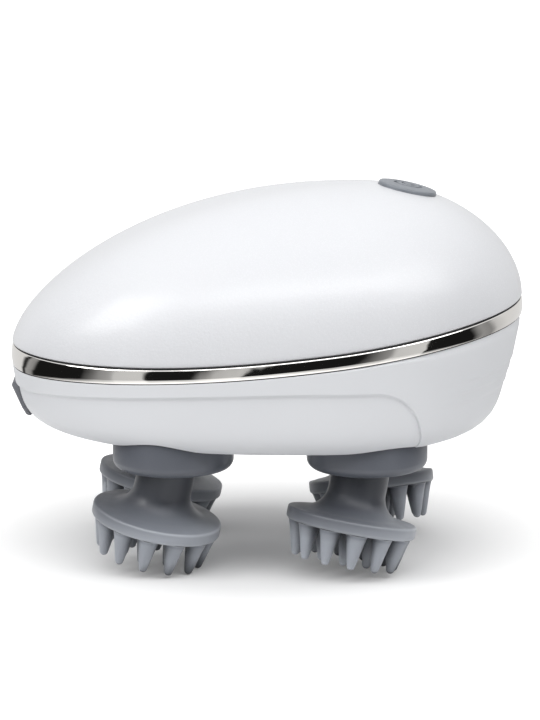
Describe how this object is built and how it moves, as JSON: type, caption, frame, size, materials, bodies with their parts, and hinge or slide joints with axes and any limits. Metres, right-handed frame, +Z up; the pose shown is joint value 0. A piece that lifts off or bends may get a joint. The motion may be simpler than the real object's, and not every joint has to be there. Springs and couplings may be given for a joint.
{
  "type": "electric scalp massager",
  "caption": "Egg-shaped handheld scalp massager: pearl upper shell, bright trim ring, push button, and geared turrets under the belly carrying tilted silicone kneading heads.",
  "frame": {"origin": "middle of the footprint, on the surface that the lowest massage tines stand on", "axes": "+X runs along the housing to the blunt nose with the button, -X to the narrow tail with the charging port, +Y across the housing, +Z up from the belly to the crown"},
  "size_m": [0.1224, 0.0894, 0.0901],
  "materials": {
    "pearl_white": "glossy pearl injection-moulded ABS with a very fine mica speck",
    "satin_white": "satin injection-moulded ABS",
    "bright_trim": "mirror-bright plated trim, very slightly warm",
    "gasket_black": "closed-cell rubber seal",
    "button_grey": "satin metallic-grey paint on plastic",
    "plug_grey": "soft grey elastomer",
    "drum_grey": "satin mid-grey moulded plastic",
    "silicone_grey": "matt blue-grey food-grade silicone",
    "frame_black": "moulded black glass-filled nylon",
    "gear_nylon": "natural acetal",
    "steel": "ground steel",
    "brass": "turned brass",
    "can_steel": "zinc-plated drawn steel",
    "board_green": "green solder mask on glass-epoxy",
    "parts_black": "moulded component bodies",
    "cell_foil": "laminated foil pouch",
    "lead_red": "silicone lead insulation",
    "lead_blue": "silicone lead insulation",
    "lead_black": "silicone lead insulation"
  },
  "bodies": {
    "housing": {"upper_shell": "pearl_white", "lower_shell": "satin_white", "trim_ring": "bright_trim", "shell_gasket": "gasket_black", "tact_switch": "parts_black", "main_board": "board_green", "board_parts": "parts_black", "board_screws": "steel", "case_screws": "steel", "gear_deck": "frame_black", "gear_plate": "frame_black", "plate_screws": "steel", "shaft_bushes": "brass", "shaft_seals": "gasket_black", "worm_bridge": "frame_black", "bracket_screws": "steel", "motor_can": "can_steel", "motor_endcap": "parts_black", "motor_strap": "can_steel", "battery_cell": "cell_foil", "battery_tray": "frame_black", "charge_socket": "steel", "charge_board": "board_green", "power_leads": "lead_red", "motor_leads": "lead_blue", "charge_leads": "lead_black"},
    "button": {"power_button": "button_grey", "switch_stem": "parts_black"},
    "port_cover": {"port_plug": "plug_grey"},
    "motor_rotor": {"motor_shaft": "steel", "worm": "brass"},
    "drive": {"drive_shaft": "steel", "drive_gear": "gear_nylon", "worm_wheel": "gear_nylon"},
    "idler": {"idler_shaft": "steel", "idler_gear": "gear_nylon"},
    "turret_1": {"output_gear_1": "gear_nylon", "output_shaft_1": "steel", "drum_1": "drum_grey", "oblique_axle_1": "steel"},
    "head_1": {"head_hub_1": "frame_black", "massage_head_1": "silicone_grey"},
    "turret_2": {"output_gear_2": "gear_nylon", "output_shaft_2": "steel", "drum_2": "drum_grey", "oblique_axle_2": "steel"},
    "head_2": {"head_hub_2": "frame_black", "massage_head_2": "silicone_grey"},
    "turret_3": {"output_gear_3": "gear_nylon", "output_shaft_3": "steel", "drum_3": "drum_grey", "oblique_axle_3": "steel"},
    "head_3": {"head_hub_3": "frame_black", "massage_head_3": "silicone_grey"},
    "turret_4": {"output_gear_4": "gear_nylon", "output_shaft_4": "steel", "drum_4": "drum_grey", "oblique_axle_4": "steel"},
    "head_4": {"head_hub_4": "frame_black", "massage_head_4": "silicone_grey"}
  },
  "joints": [
    {"name": "turret_spin_1", "type": "hinge", "parent": "housing", "child": "turret_1", "pos_m": [-0.02205, -0.02226, 0.033], "axis": [0, 0, 1], "continuous": true},
    {"name": "turret_spin_2", "type": "hinge", "parent": "housing", "child": "turret_2", "pos_m": [0.02355, -0.02226, 0.033], "axis": [0, 0, 1], "continuous": true},
    {"name": "turret_spin_3", "type": "hinge", "parent": "housing", "child": "turret_3", "pos_m": [-0.02205, 0.02226, 0.033], "axis": [0, 0, 1], "continuous": true},
    {"name": "turret_spin_4", "type": "hinge", "parent": "housing", "child": "turret_4", "pos_m": [0.02355, 0.02226, 0.033], "axis": [0, 0, 1], "continuous": true},
    {"name": "drive_spin", "type": "hinge", "parent": "housing", "child": "drive", "pos_m": [0.00075, 0.012, 0.0423], "axis": [0, 0, 1], "continuous": true},
    {"name": "idler_spin", "type": "hinge", "parent": "housing", "child": "idler", "pos_m": [0.00075, -0.012, 0.0423], "axis": [0, 0, 1], "continuous": true},
    {"name": "motor_spin", "type": "hinge", "parent": "housing", "child": "motor_rotor", "pos_m": [0.00075, 0, 0.055], "axis": [1, 0, 0], "continuous": true},
    {"name": "head_spin_1", "type": "hinge", "parent": "turret_1", "child": "head_1", "pos_m": [-0.02205, -0.02226, 0.032], "axis": [-0.2034, 0.074, -0.9763], "continuous": true},
    {"name": "head_spin_2", "type": "hinge", "parent": "turret_2", "child": "head_2", "pos_m": [0.02355, -0.02226, 0.032], "axis": [-0.1815, -0.1179, -0.9763], "continuous": true},
    {"name": "head_spin_3", "type": "hinge", "parent": "turret_3", "child": "head_3", "pos_m": [-0.02205, 0.02226, 0.032], "axis": [-0.2164, 0, -0.9763], "continuous": true},
    {"name": "head_spin_4", "type": "hinge", "parent": "turret_4", "child": "head_4", "pos_m": [0.02355, 0.02226, 0.032], "axis": [0.1082, -0.1874, -0.9763], "continuous": true},
    {"name": "button_press", "type": "slide", "parent": "housing", "child": "button", "axis": [-0.211, 0, -0.9775], "range_m": [0, 0.0005], "stiffness_N_per_m": 2500, "springref_m": -0.0002},
    {"name": "port_cover_hinge", "type": "hinge", "parent": "housing", "child": "port_cover", "pos_m": [-0.06011, 0, 0.04152], "axis": [0, 1, 0], "range_deg": [0, 95]}
  ],
  "couplings": [
    {"joint": "turret_spin_2", "follows": "turret_spin_1", "ratio": 1},
    {"joint": "turret_spin_3", "follows": "turret_spin_1", "ratio": -1},
    {"joint": "turret_spin_4", "follows": "turret_spin_1", "ratio": -1},
    {"joint": "drive_spin", "follows": "turret_spin_1", "ratio": 1.0833},
    {"joint": "idler_spin", "follows": "turret_spin_1", "ratio": -1.0833},
    {"joint": "motor_spin", "follows": "turret_spin_1", "ratio": -32.5}
  ]
}
